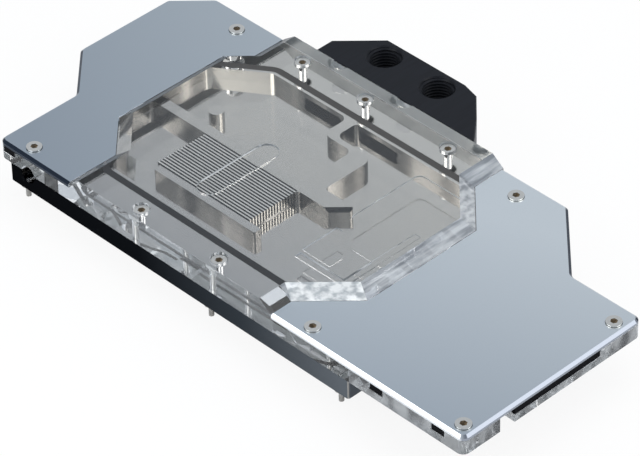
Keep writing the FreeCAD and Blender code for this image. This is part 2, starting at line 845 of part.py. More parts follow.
def cut_edge_recesses(body):
    """The recesses under the covers along the front edge and the right end."""
    slots = flat_sketch(body, "front_slot_outline", LEDGE_TOP)
    for middle in FRONT_SLOTS.values():
        draw_outline(slots, rectangle(
            "%s - light_slot_width / 2" % middle, "-front_edge - outline_round",
            "%s + light_slot_width / 2" % middle, "light_slot_depth - front_edge"))
    add_pocket(body, "front_slots", slots, "light_slot_height")

    end_slot = flat_sketch(body, "end_slot_outline", LEDGE_TOP)
    draw_outline(end_slot, rectangle(
        "right_end - end_slot_depth", "-end_slot_front",
        "right_end + outline_round", "end_slot_back"))
    add_pocket(body, "end_slot", end_slot, "light_slot_height")

    notch = flat_sketch(body, "end_notch_outline", LEDGE_TOP)
    draw_outline(notch, rectangle(
        "right_end - end_notch_depth", "-end_notch_front",
        "right_end + outline_round", "-end_slot_front"))
    add_pocket(body, "end_notch", notch, "2 * ledge_thickness")

    bore = upright_sketch(body, "clear_bore_place", "-front_edge")
    draw_circle(bore, "-side_bore_left", "side_bore_level", "side_bore")
    add_pocket(body, "clear_side_bore", bore, "side_bore_depth")


def cover(label, corners, inner_side, screws):
    """A cover on the ledge, with a bevel along its outer edge and a sink for each screw head."""
    body = new_body(label)
    outline = flat_sketch(body, label + "_outline", COVER_BOTTOM)
    draw_outline(outline, corners + inner_side)
    sheet_metal = add_pad(body, label + "_sheet", outline, "cover_thickness")
    rounded = add_fillet(body, label + "_corners", sheet_metal, corners, "outline_round")
    doc.recompute()

    inner_edge = Part.makePolygon([FreeCAD.Vector(value(x), value(y), value(COVER_TOP))
                                   for x, y in inner_side])
    names = []
    for number, edge in enumerate(rounded.Shape.Edges, start=1):
        middle = edge.valueAt((edge.FirstParameter + edge.LastParameter) / 2)
        level = min(vertex.Point.z for vertex in edge.Vertexes)
        on_top = level > value(COVER_TOP) - CLOSE
        if on_top and inner_edge.distToShape(Part.Vertex(middle))[0] > CLOSE:
            names.append("Edge%d" % number)
    bevel = body.newObject("PartDesign::Chamfer", label + "_bevel")
    bevel.Base = (rounded, names)
    bevel.setExpression("Size", bound("cover_bevel"))

    sinks = flat_sketch(body, label + "_sinks", COVER_TOP)
    for x, y in screws:
        draw_circle(sinks, x, y, "cover_head_size + head_slack")
    add_pocket(body, label + "_head_sinks", sinks, "cover_sink")
    return body


def left_cover():
    """The cover over the left wing."""
    outer = outer_outline()
    inner = block_left_side("-cover_gap")
    return cover("left_cover", outer[5:] + outer[:1], inner[::-1], LEFT_COVER_SCREWS)


def right_cover():
    """The cover over the right end, with the stepped back corner."""
    outer = outer_outline()
    inner = block_right_side("-cover_gap")
    return cover("right_cover", outer[1:5], inner[::-1], RIGHT_COVER_SCREWS)


def port_terminal():
    """The port block behind the clear top, with two threaded mouths and their channels."""
    body = new_body("port_terminal")
    outline = flat_sketch(body, "terminal_outline", "terminal_foot")
    corners = [
        ("-terminal_left", "back_edge + joint_film"),
        ("terminal_right", "back_edge + joint_film"),
        ("terminal_right_side", "back_edge + terminal_right_depth"),
        ("terminal_facet", "back_edge + terminal_facet_depth"),
        ("terminal_flat_end", "back_edge + terminal_depth"),
        ("terminal_left_slope - terminal_left", "back_edge + terminal_depth"),
        ("-terminal_left", "back_edge + terminal_depth - terminal_left_slope"),
    ]
    draw_outline(outline, corners)
    block = add_pad(body, "terminal_block", outline, "%s - terminal_foot" % BLOCK_TOP)
    doc.recompute()
    names = []
    for number, edge in enumerate(block.Shape.Edges, start=1):
        level = min(vertex.Point.z for vertex in edge.Vertexes)
        behind = max(vertex.Point.y for vertex in edge.Vertexes)
        if level > value(BLOCK_TOP) - CLOSE and behind > value("back_edge + joint_film") + CLOSE:
            names.append("Edge%d" % number)
    trim = body.newObject("PartDesign::Chamfer", "terminal_edge_bevel")
    trim.Base = (block, names)
    trim.setExpression("Size", bound("terminal_edge"))

    ports = flat_sketch(body, "port_places", BLOCK_TOP)
    channels = flat_sketch(body, "port_channel_places", BLOCK_TOP)
    for side in ("-port_spacing / 2", "port_spacing / 2"):
        draw_circle(ports, "port_middle + %s" % side, "port_back", "port_size")
        draw_circle(channels, "port_middle + %s" % side, "port_back", "port_channel")
    add_pocket(body, "port_threads", ports, "port_depth")
    bores = add_pocket(body, "port_channels", channels,
                       "%s - %s + passage_height / 2" % (BLOCK_TOP, PASSAGE_MIDDLE))
    doc.recompute()
    names = []
    for number, edge in enumerate(bores.Shape.Edges, start=1):
        is_mouth = (edge.Curve.TypeId == "Part::GeomCircle"
                    and abs(edge.Curve.Radius - value("port_size / 2")) < CLOSE
                    and edge.Curve.Center.z > value(BLOCK_TOP) - CLOSE)
        if is_mouth:
            names.append("Edge%d" % number)
    mouths = body.newObject("PartDesign::Chamfer", "port_mouths")
    mouths.Base = (bores, names)
    mouths.setExpression("Size", bound("(port_mouth - port_size) / 2"))

    passages = upright_sketch(body, "terminal_passage_outline", "back_edge - terminal_edge")
    for x in PASSAGES:
        draw_slot(passages, "%s - passage_width / 2" % x, "%s + passage_width / 2" % x,
                  PASSAGE_MIDDLE, "passage_height")
    add_pocket(body, "terminal_passages", passages, "port_back - back_edge + terminal_edge")
    return body


def turned_piece(label, profile):
    """A body turned about its own upright axis from a profile of radius and height."""
    body = new_body(label)
    sketch = body.newObject("Sketcher::SketchObject", label + "_profile")
    sketch.AttachmentSupport = [(origin_plane(body, "XZ_Plane"), "")]
    sketch.MapMode = "FlatFace"
    draw_outline(sketch, profile)
    turned = body.newObject("PartDesign::Revolution", label + "_turned")
    turned.Profile = sketch
    turned.ReferenceAxis = (origin_plane(body, "Z_Axis"), [""])
    turned.Angle = 360
    return body


def cut_socket(body, label, level):
    """A six-sided socket in the top of a screw head."""
    sketch = flat_sketch(body, label + "_socket", level)
    reach = "socket_size / 2 / cos(30)"
    draw_outline(sketch, [("%s * cos(%d)" % (reach, turn), "%s * sin(%d)" % (reach, turn))
                          for turn in range(0, 360, 60)])
    add_pocket(body, label + "_socket_cut", sketch, "socket_depth")


def place(body, x, y, level):
    """Puts a body's origin at a place that follows the sheet."""
    for axis, expression in (("x", x), ("y", y), ("z", level)):
        body.setExpression("Placement.Base." + axis, bound(expression))


def cover_screw(label, x, y):
    """The low round head of a screw that holds a cover."""
    body = turned_piece(label, [
        ("0", "0"),
        ("cover_head_size / 2", "0"),
        ("cover_head_size / 2", "cover_head_height"),
        ("0", "cover_head_height"),
    ])
    cut_socket(body, label, "cover_head_height")
    place(body, x, y, "%s - cover_sink" % COVER_TOP)
    return body


def cover_screws(label, places):
    """All the screws of one cover, as one group of separate solids."""
    group = doc.addObject("Part::Compound", label)
    group.Label = label
    group.Links = [cover_screw("%s_%d" % (label, number), x, y)
                   for number, (x, y) in enumerate(places, start=1)]
    return group


def top_screw(label, x, y):
    """A low cap screw in its well, through the clear top into the plate."""
    reach = "(%s - top_head_drop - top_head_height - %s + top_screw_grip)" % (BLOCK_TOP, PLATE_TOP)
    body = turned_piece(label, [
        ("0", "-" + reach),
        ("shank_size / 2", "-" + reach),
        ("shank_size / 2", "0"),
        ("top_head_size / 2", "0"),
        ("top_head_size / 2", "top_head_height"),
        ("0", "top_head_height"),
    ])
    cut_socket(body, label, "top_head_height")
    place(body, x, y, "%s - top_head_drop - top_head_height" % BLOCK_TOP)
    return body


def standoff(label, x, y):
    """A standoff on the underside, with a slim stem for the circuit board."""
    stem_end = "(standoff_height + standoff_stem_length)"
    body = turned_piece(label, [
        ("0", "-" + stem_end),
        ("standoff_stem / 2", "-" + stem_end),
        ("standoff_stem / 2", "-standoff_height"),
        ("standoff_size / 2", "-standoff_height"),
        ("standoff_size / 2", "0"),
        ("0", "0"),
    ])
    place(body, x, y, "contact_step")
    return body


def light_strip(label, length, width, x, y):
    """A dark strip that stands on the floor of a recess in the clear top's edge."""
    strip = doc.addObject("Part::Box", label)
    strip.Label = label
    strip.setExpression("Length", bound(length))
    strip.setExpression("Width", bound(width))
    strip.setExpression("Height", bound("light_slot_height - seal_slack"))
    strip.setExpression("Placement.Base.x", bound(x))
    strip.setExpression("Placement.Base.y", bound(y))
    strip.setExpression("Placement.Base.z", bound("%s - light_slot_height" % LEDGE_TOP))
    return strip


def light_strips():
    """The strip in the right end and one in each recess of the front edge."""
    strips = [light_strip(
        "light_strip_end", "strip_thickness", "end_slot_front + end_slot_back - 2 * strip_slack",
        "right_end - strip_slack - strip_thickness", "strip_slack - end_slot_front")]
    for label, middle in FRONT_SLOTS.items():
        strips.append(light_strip(
            label, "light_slot_width - 2 * strip_slack", "strip_thickness",
            "%s - light_slot_width / 2 + strip_slack" % middle, "strip_slack - front_edge"))
    return strips


def build_pieces():
    """Every piece of the cold plate, each under the name of its node."""
    wall, inner, outer, seal_inner, seal_outer = chamber_edges()
    pieces = [
        cold_plate(wall, inner, outer),
        main_gasket(seal_inner, seal_outer),
        clear_top(),
        left_cover(),
        right_cover(),
        port_terminal(),
        cover_screws("left_cover_screws", LEFT_COVER_SCREWS),
        cover_screws("right_cover_screws", RIGHT_COVER_SCREWS),
    ]
    pieces += light_strips()
    pieces += [top_screw(name, x, y) for name, (x, y) in TOP_SCREWS.items()]
    pieces += [standoff(name, x, y) for name, (x, y) in STANDOFFS.items()]
    return pieces


def check_document():
    """Stops if any object of the document failed or has a broken shape."""
    doc.recompute()
    for thing in doc.Objects:
        if "Invalid" in thing.State or "Error" in thing.State:
            raise RuntimeError("%s failed: %s" % (thing.Name, thing.State))


def write_pieces(pieces):
    """Writes each piece to a file that has its name."""
    os.makedirs("parts", exist_ok=True)
    for piece in pieces:
        shape = piece.Shape
        if shape.isNull() or not shape.isValid():
            raise RuntimeError("%s has no sound shape" % piece.Label)
        print(piece.Label, len(shape.Solids), round(shape.Volume, 3))
        shape.exportStep("parts/%s.step" % piece.Label)


pieces = build_pieces()
check_document()
write_pieces(pieces)
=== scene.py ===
import bpy
import json
import math
from mathutils import Matrix, Vector


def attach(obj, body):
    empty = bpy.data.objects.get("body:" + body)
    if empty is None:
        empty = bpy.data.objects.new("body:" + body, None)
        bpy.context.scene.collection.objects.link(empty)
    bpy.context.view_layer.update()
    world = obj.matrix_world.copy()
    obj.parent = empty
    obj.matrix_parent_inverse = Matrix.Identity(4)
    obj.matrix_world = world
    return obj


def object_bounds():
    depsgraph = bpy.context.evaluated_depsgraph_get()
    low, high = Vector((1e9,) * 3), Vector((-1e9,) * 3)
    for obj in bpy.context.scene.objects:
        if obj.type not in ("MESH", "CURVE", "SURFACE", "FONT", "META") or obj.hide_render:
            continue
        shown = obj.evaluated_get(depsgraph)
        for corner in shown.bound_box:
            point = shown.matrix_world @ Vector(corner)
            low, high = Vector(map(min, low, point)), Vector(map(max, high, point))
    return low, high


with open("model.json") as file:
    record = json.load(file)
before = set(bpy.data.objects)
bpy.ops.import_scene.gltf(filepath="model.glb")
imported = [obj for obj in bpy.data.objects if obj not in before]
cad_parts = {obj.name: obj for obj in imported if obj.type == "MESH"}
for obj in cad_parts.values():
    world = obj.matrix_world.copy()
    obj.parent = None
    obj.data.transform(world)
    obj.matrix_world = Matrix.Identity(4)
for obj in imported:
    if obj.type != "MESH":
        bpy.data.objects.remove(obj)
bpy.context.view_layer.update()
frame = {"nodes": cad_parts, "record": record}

MM = 0.001

# The camera looks at a point on the covers' top plane, as in the photograph.
CAMERA_TARGET = Vector((46.953, 1.455, 17.5)) * MM
CAMERA_AZIMUTH = 46.491
CAMERA_ELEVATION = 38.674
CAMERA_ROLL = -1.355
CAMERA_DISTANCE = 1460.2 * MM
CAMERA_LENS = 230.83
CAMERA_REACH = 20
SENSOR_WIDTH = 36.0

# The two threaded ports in the top of the port block.
PORT_PLACES = (Vector((-5.4, 86.55, 21.5)) * MM, Vector((22.1, 86.55, 21.5)) * MM)
PORT_RADIUS = 6.5785 * MM
THREAD_PITCH = 1.337 * MM
THREAD_DEPTH = 0.80 * MM
THREAD_START = 0.9 * MM
THREAD_TURNS = 7
THREAD_STEPS = 48
THREAD_OVERLAP = 0.02 * MM
THREAD_RUN_OUT = 0.5
CREST_HALF = 0.08

# The slits over the chip as the photograph counts them, with bars between them.
FIN_LEFT = -24.52 * MM
FIN_RIGHT = 24.02 * MM
FIN_FRONT = -12.0 * MM
FIN_BACK = 12.5 * MM
FIN_FOOT = 5.1 * MM
FIN_TOP = 9.52 * MM
SLIT_COUNT = 18
SLIT_WIDTH = 0.76 * MM

# The plate's own fins, which lie just under the bars and are painted dark, as painted shade in the
# slits.
HAIR = 0.01 * MM
OWN_FINS_X = (FIN_LEFT + HAIR, FIN_RIGHT - HAIR)
OWN_FINS_Y = (FIN_FRONT - HAIR, FIN_BACK + HAIR)
OWN_FINS_Z = (FIN_FOOT - 5 * HAIR, FIN_TOP - 1.5 * HAIR)

# Places just inside the outer faces of the body and of the metal plate.
FRONT_FACE = -43.9 * MM
BACK_FACE = 71.9 * MM
PLATE_LEFT = -69.5 * MM
PLATE_RIGHT = 106.9 * MM

# Regions of the clear top. The wells are those of the top screws, in two rows equally far from the
# middle between them, and the marks are the shallow wells on the back edge.
BEVELS_FOOT = 17.0 * MM
SLOPES_LEFT = 60.0 * MM
SLOPES_FRONT = -34.2 * MM
FRONT_BAND_X = (-40.0 * MM, 70.0 * MM)
WELLS_X = (-30.0 * MM, 54.0 * MM)
WELLS_MIDDLE = 12.4 * MM
WELLS_FROM_MIDDLE = (47.5 * MM, 55.0 * MM)
WELLS_Z = (16.0 * MM, 21.4 * MM)
RIMS_X = (-10.0 * MM, 86.0 * MM)
RIMS_Y = (-28.0 * MM, 53.0 * MM)
RIMS_TOP = 10.6 * MM
MARKS_X = (-17.7 * MM, 23.4 * MM)
MARKS_FRONT = 68.4 * MM
MARKS_Z = (20.9 * MM, 21.45 * MM)
ENDS_LEFT = 107.5 * MM
ENDS_TOP = 15.6 * MM
BACK_FOOT = 10.4 * MM

# How much of each region of the clear top is covered by painted reflections and scattered light.
PAINTED_LIGHT_AMOUNTS = {
    "slopes": 0.6,
    "front_corner": 0.78,
    "rims": 0.55,
    "seen_marks": 0.3,
    "ends": 0.5,
    "front_face": 0.16,
    "wells": 0.35,
    "back": 0.7,
    "far_facets": 0.7,
}

# How much of the marks lets every ray through.
MARKS_CLEAR = 0.6

# The chamber's wall at the back left, which gets a painted bright reflection, told by its place and
# by how far it faces the front right.
SLANTED_WALL_FRONT = 20.0 * MM
SLANTED_FACING = 1.2

# Between these levels lie the floors of the sockets, in the cover screws and in the top screws.
COVER_SOCKETS_Z = (16.6 * MM, 17.4 * MM)
TOP_SOCKETS_Z = (19.2 * MM, 20.0 * MM)

# Painted gradients of light and reflection over the object: the growth for each metre of x and of y,
# and the value at the origin.
FLATS_PAINTED_LIGHT = (0.0, 5.2, 0.38)
PLATE_SIDE_PAINTED_LIGHT = (5.6, 0.0, 0.4)
LEFT_COVER_PAINTED_LIGHT = (2.45, 4.8, 0.33)
RIGHT_COVER_PAINTED_LIGHT = (-2.3, 6.5, 0.88)
SEAL_PAINTED_LIGHT = (0.0, 11.0, 0.35)

# How far a face's normal has to point one way, for telling the faces apart.
FULLY = 0.95
MOSTLY = 0.9
HALF = 0.5
PARTLY = 0.3
HARDLY = 0.2

FLOOR_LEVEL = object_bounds()[0][2]
FLOOR_GAP = 0.02 * MM
FLOOR_HALF = 3.0
FLOOR_WHITE = 0.9
SURROUND_STRENGTH = 0.9

# How often a ray may be bent or mirrored, high because the clear top has many faces.
MAX_BOUNCES = 24
GLOSSY_BOUNCES = 16
TRANSMISSION_BOUNCES = 20


def linear(red, green, blue):
    """A colour given as 0 to 255 on screen, as the renderer's linear values."""
    def one(level):
        level /= 255
        return level / 12.92 if level <= 0.04045 else ((level + 0.055) / 1.055) ** 2.4
    return (one(red), one(green), one(blue), 1.0)


def grey(level):
    """A neutral colour of this linear level."""
    return (level, level, level, 1.0)


def new_material(name):
    """An empty node material with its output, and the node tree."""
    material = bpy.data.materials.new(name)
    material.use_nodes = True
    tree = material.node_tree
    tree.nodes.clear()
    output = tree.nodes.new("ShaderNodeOutputMaterial")
    return material, tree, output


def add_node(tree, kind, **inputs):
    """A node of this kind with its inputs set by name."""
    node = tree.nodes.new("ShaderNode" + kind)
    for name, value in inputs.items():
        node.inputs[name.replace("_", " ")].default_value = value
    return node


def math_node(tree, operation, first, second):
    """A maths node between two sockets or numbers."""
    node = tree.nodes.new("ShaderNodeMath")
    node.operation = operation
    for socket, value in zip(node.inputs, (first, second)):
        if isinstance(value, (int, float)):
            socket.default_value = value
        else:
            tree.links.new(value, socket)
    return node.outputs[0]


def above(tree, source, limit):
    """1 where the source is over the limit, and 0 elsewhere."""
    return math_node(tree, "GREATER_THAN", source, limit)


def below(tree, source, limit):
    """1 where the source is under the limit, and 0 elsewhere."""
    return math_node(tree, "LESS_THAN", source, limit)


def between(tree, source, low, high):
    """1 where the source lies between two values, and 0 elsewhere."""
    return math_node(tree, "MULTIPLY", above(tree, source, low), below(tree, source, high))


def size_of(tree, source):
    """The source without its sign."""
    return math_node(tree, "ABSOLUTE", source, 0.0)


def all_of(tree, *shares):
    """The product of several shares."""
    result = shares[0]
    for share in shares[1:]:
        result = math_node(tree, "MULTIPLY", result, share)
    return result


def any_of(tree, *shares):
    """The largest of several shares."""
    result = shares[0]
    for share in shares[1:]:
        result = math_node(tree, "MAXIMUM", result, share)
    return result


def ramp_node(tree, source, stops):
    """A colour ramp from the source, with stops of place and colour."""
    node = tree.nodes.new("ShaderNodeValToRGB")
    ramp = node.color_ramp
    while len(ramp.elements) < len(stops):
        ramp.elements.new(0.5)
    for element, (place, colour) in zip(ramp.elements, stops):
        element.position = place
        element.color = colour
    tree.links.new(source, node.inputs[0])
    return node.outputs[0]


def mix_colours(tree, share, first, second):
    """A colour between two, each a colour or a socket, by the share."""
    node = tree.nodes.new("ShaderNodeMix")
    node.data_type = "RGBA"
    for socket, value in zip((node.inputs[0], node.inputs[6], node.inputs[7]),
                             (share, first, second)):
        if isinstance(value, (tuple, float)):
            socket.default_value = value
        else:
            tree.links.new(value, socket)
    return node.outputs[2]


def mix_shaders(tree, share, first, second):
    """A shader between two, by the share."""
    node = tree.nodes.new("ShaderNodeMixShader")
    for socket, value in zip(node.inputs, (share, first, second)):
        tree.links.new(value, socket)
    return node.outputs[0]


def noise(tree, scale, detail=3.0, stretch=(1.0, 1.0, 1.0)):
    """Noise over the piece's own metres, stretched along an axis for a grain."""
    place = tree.nodes.new("ShaderNodeTexCoord")
    mapping = tree.nodes.new("ShaderNodeMapping")
    mapping.inputs["Scale"].default_value = stretch
    tree.links.new(place.outputs["Object"], mapping.inputs["Vector"])
    texture = add_node(tree, "TexNoise", Scale=scale, Detail=detail)
    tree.links.new(mapping.outputs[0], texture.inputs["Vector"])
    return texture.outputs[0]


def bump(tree, height, strength, distance):
    """A bump from a height socket."""
    node = add_node(tree, "Bump", Strength=strength, Distance=distance)
    tree.links.new(height, node.inputs["Height"])
    return node.outputs[0]


def geometry_parts(tree, name):
    """The x, y and z of one output of the surface's geometry."""
    geometry = tree.nodes.new("ShaderNodeNewGeometry")
    parts = tree.nodes.new("ShaderNodeSeparateXYZ")
    tree.links.new(geometry.outputs[name], parts.inputs[0])
    return parts.outputs


def normal_parts(tree):
    """The x, y and z of the surface's own normal."""
    return geometry_parts(tree, "Normal")


def place_parts(tree):
    """The x, y and z of the place on the surface, in metres."""
    return geometry_parts(tree, "Position")


def plane(tree, place, along_x, along_y, start):
    """A value that grows evenly over the object, by so much for each metre of x and of y."""
    across = math_node(tree, "ADD", math_node(tree, "MULTIPLY", place[0], along_x), start)
    return math_node(tree, "ADD", math_node(tree, "MULTIPLY", place[1], along_y), across)


def acrylic_regions(tree, place, camera_ray):
    """Where the clear top gets painted reflections and scattered light, each region 1 inside and 0
    outside.
    """
    normal = normal_parts(tree)
    level = size_of(tree, normal[2])
    upright = below(tree, level, PARTLY)
    slanting = all_of(tree, between(tree, level, PARTLY, FULLY), above(tree, place[2], BEVELS_FOOT))
    slopes = all_of(tree, slanting, above(tree, place[0], SLOPES_LEFT),
                    above(tree, place[1], SLOPES_FRONT))
    from_middle = size_of(tree, math_node(tree, "SUBTRACT", place[1], WELLS_MIDDLE))
    marks = all_of(tree, between(tree, place[0], *MARKS_X), above(tree, place[1], MARKS_FRONT),
                   between(tree, place[2], *MARKS_Z))
    return {
        "slopes": slopes,
        "front_corner": all_of(tree, slopes, below(tree, normal[1], -HARDLY)),
        "far_facets": all_of(tree, slanting, below(tree, normal[0], -HARDLY),
                             above(tree, normal[1], -PARTLY)),
        "front_face": all_of(tree, below(tree, place[1], FRONT_FACE),
                             below(tree, normal[1], -MOSTLY),
                             between(tree, place[0], *FRONT_BAND_X)),
        "back": all_of(tree, above(tree, place[1], BACK_FACE),
                       above(tree, size_of(tree, normal[1]), MOSTLY)),
        "ends": all_of(tree, upright, above(tree, place[0], ENDS_LEFT),
                       below(tree, place[2], ENDS_TOP)),
        "wells": all_of(tree, upright, between(tree, place[0], *WELLS_X),
                        between(tree, from_middle, *WELLS_FROM_MIDDLE),
                        between(tree, place[2], *WELLS_Z)),
        "rims": all_of(tree, below(tree, level, HALF), between(tree, place[0], *RIMS_X),
                       between(tree, place[1], *RIMS_Y), below(tree, place[2], RIMS_TOP)),
        "marks": marks,
        "seen_marks": all_of(tree, marks, camera_ray),
    }


def painted_light_colour(tree, regions, place):
    """The colour of the painted reflections and scattered light in each region of the clear top."""
    # Painted light by region: pale streaks and dull patches of painted scattered light, grey painted
    # reflections on the slopes, a painted white highlight on the front corner, a painted band on the
    # back that is lighter above and darker below, and a painted dark reflection on the far facets.
    streaks = noise(tree, scale=260.0, detail=4.0, stretch=(0.5, 0.5, 2.0))
    pale = ramp_node(tree, streaks, [(0.35, linear(158, 164, 170)), (0.65, linear(226, 230, 232))])
    patches = noise(tree, scale=130.0, detail=2.0, stretch=(1.0, 1.0, 0.6))
    dull = ramp_node(tree, patches, [(0.38, linear(84, 86, 89)), (0.60, linear(196, 198, 199))])
    lengthwise = noise(tree, scale=500.0, detail=3.0, stretch=(1.0, 0.1, 1.0))
    grey_slope = ramp_node(tree, lengthwise, [(0.36, linear(128, 134, 142)),
                                              (0.66, linear(208, 212, 216))])
    fine = noise(tree, scale=700.0, detail=4.0, stretch=(0.4, 0.4, 1.0))
    white = ramp_node(tree, fine, [(0.38, linear(176, 182, 186)), (0.58, linear(240, 242, 242))])
    back = mix_colours(tree, below(tree, place[2], BACK_FOOT),
                       linear(140, 147, 149), linear(225, 228, 230))
    colour = mix_colours(tree, regions["ends"], pale, dull)
    colour = mix_colours(tree, regions["slopes"], colour, grey_slope)
    colour = mix_colours(tree, regions["front_corner"], colour, white)
    colour = mix_colours(tree, regions["back"], colour, back)
    return mix_colours(tree, regions["far_facets"], colour, linear(30, 32, 35))


def clear_acrylic():
    """Polished clear acrylic, with painted reflections and scattered light on its slopes, ends,
    back, wells and channel rims.
    """
    material, tree, output = new_material("clear_acrylic")
    path = tree.nodes.new("ShaderNodeLightPath")
    place = place_parts(tree)
    regions = acrylic_regions(tree, place, path.outputs["Is Camera Ray"])

    glass = add_node(tree, "BsdfPrincipled", Roughness=0.0, IOR=1.49, Transmission_Weight=1.0)
    # A slight tint everywhere, with painted shade on the back face.
    tint_and_back_shade = mix_colours(tree, regions["back"], (0.985, 0.992, 0.995, 1.0), (0.78, 0.82, 0.84, 1.0))
    tree.links.new(tint_and_back_shade, glass.inputs["Base Color"])
    waves = noise(tree, scale=60.0)
    tree.links.new(bump(tree, waves, strength=0.04, distance=0.0002), glass.inputs["Normal"])

    # A rough shader that carries the painted reflections and scattered light.
    painted_light_shader = add_node(tree, "BsdfPrincipled", Roughness=0.4)
    tree.links.new(painted_light_colour(tree, regions, place), painted_light_shader.inputs["Base Color"])
    share = any_of(tree, *(math_node(tree, "MULTIPLY", regions[name], amount)
                           for name, amount in PAINTED_LIGHT_AMOUNTS.items()))
    glass_with_painted_light = mix_shaders(tree, share, glass.outputs[0], painted_light_shader.outputs[0])

    through = add_node(tree, "BsdfTransparent", Color=(0.93, 0.94, 0.95, 1.0))
    see_through = any_of(tree, path.outputs["Is Shadow Ray"],
                         math_node(tree, "MULTIPLY", regions["marks"], MARKS_CLEAR))
    tree.links.new(mix_shaders(tree, see_through, glass_with_painted_light, through.outputs[0]),
                   output.inputs["Surface"])
    return material


def plate_metal(tree, place):
    """The plate's nickel: bright flats with a painted gradient of reflected light, walls with
    painted bands of reflection, bevels painted dark as a dark reflection, and its own fins painted
    dark as the shade in the slits.
    """
    metal = add_node(tree, "BsdfPrincipled", Metallic=1.0)
    normal = normal_parts(tree)
    upward = size_of(tree, normal[2])
    grain = noise(tree, scale=900.0, stretch=(0.08, 1.0, 1.0))
    # A painted gradient of reflected light over the flats, with a darker grain mixed in.
    flat = ramp_node(tree, plane(tree, place, *FLATS_PAINTED_LIGHT), [
        (0.15, linear(196, 194, 192)),
        (0.50, linear(220, 215, 207)),
        (0.75, linear(236, 230, 221)),
    ])
    flat = mix_colours(tree, math_node(tree, "MULTIPLY", grain, 0.12), flat, linear(188, 183, 176))
    # Painted bands of reflection on the walls, darker than the flats as painted shade.
    wall = ramp_node(tree, noise(tree, scale=75.0, detail=1.0, stretch=(1.0, 1.0, 0.0)), [
        (0.36, linear(96, 95, 94)),
        (0.50, linear(140, 138, 135)),
        (0.64, linear(190, 187, 183)),
    ])
    # A painted bright reflection on the slanted wall at the back left.
    facing = math_node(tree, "SUBTRACT", normal[0], normal[1])
    slanted = all_of(tree, above(tree, facing, SLANTED_FACING), below(tree, place[0], 0.0),
                     above(tree, place[1], SLANTED_WALL_FRONT))
    wall = mix_colours(tree, slanted, wall, linear(226, 223, 217))
    colour = mix_colours(tree, below(tree, upward, HALF), flat, wall)
    # Bevels painted dark, as a painted dark reflection.
    colour = mix_colours(tree, between(tree, upward, HALF, MOSTLY), colour, linear(40, 40, 42))
    # The plate's own fins painted dark, as painted shade in the slits between the bars.
    own_fins = all_of(tree, between(tree, place[0], *OWN_FINS_X),
                      between(tree, place[1], *OWN_FINS_Y), between(tree, place[2], *OWN_FINS_Z))
    colour = mix_colours(tree, own_fins, colour, linear(34, 32, 31))
    tree.links.new(colour, metal.inputs["Base Color"])
    rough = ramp_node(tree, upward, [(0.2, grey(0.22)), (0.9, grey(0.10))])
    tree.links.new(rough, metal.inputs["Roughness"])
    tree.links.new(bump(tree, grain, strength=0.04, distance=0.0001), metal.inputs["Normal"])
    return metal.outputs[0]


def plate_side(tree, place):
    """The plate's outer sides, near black, with a painted gradient of light that makes them lighter
    to the right.
    """
    side = add_node(tree, "BsdfPrincipled", Roughness=0.3, Specular_IOR_Level=0.0)
    # A painted gradient of light over the near-black sides, lighter to the right.
    tree.links.new(ramp_node(tree, plane(tree, place, *PLATE_SIDE_PAINTED_LIGHT), [
        (0.0, linear(12, 13, 15)),
        (0.4, linear(16, 18, 21)),
        (0.7, linear(52, 57, 62)),
        (1.0, linear(100, 105, 110)),
    ]), side.inputs["Base Color"])
    return side.outputs[0]


def nickel_plate():
    """The metal plate: nickel inside, near-black on its outer sides."""
    material, tree, output = new_material("nickel_plate")
    place = place_parts(tree)
    outer = any_of(tree, below(tree, place[1], FRONT_FACE), above(tree, place[1], BACK_FACE),
                   below(tree, place[0], PLATE_LEFT), above(tree, place[0], PLATE_RIGHT))
    tree.links.new(mix_shaders(tree, outer, plate_metal(tree, place), plate_side(tree, place)),
                   output.inputs["Surface"])
    return material


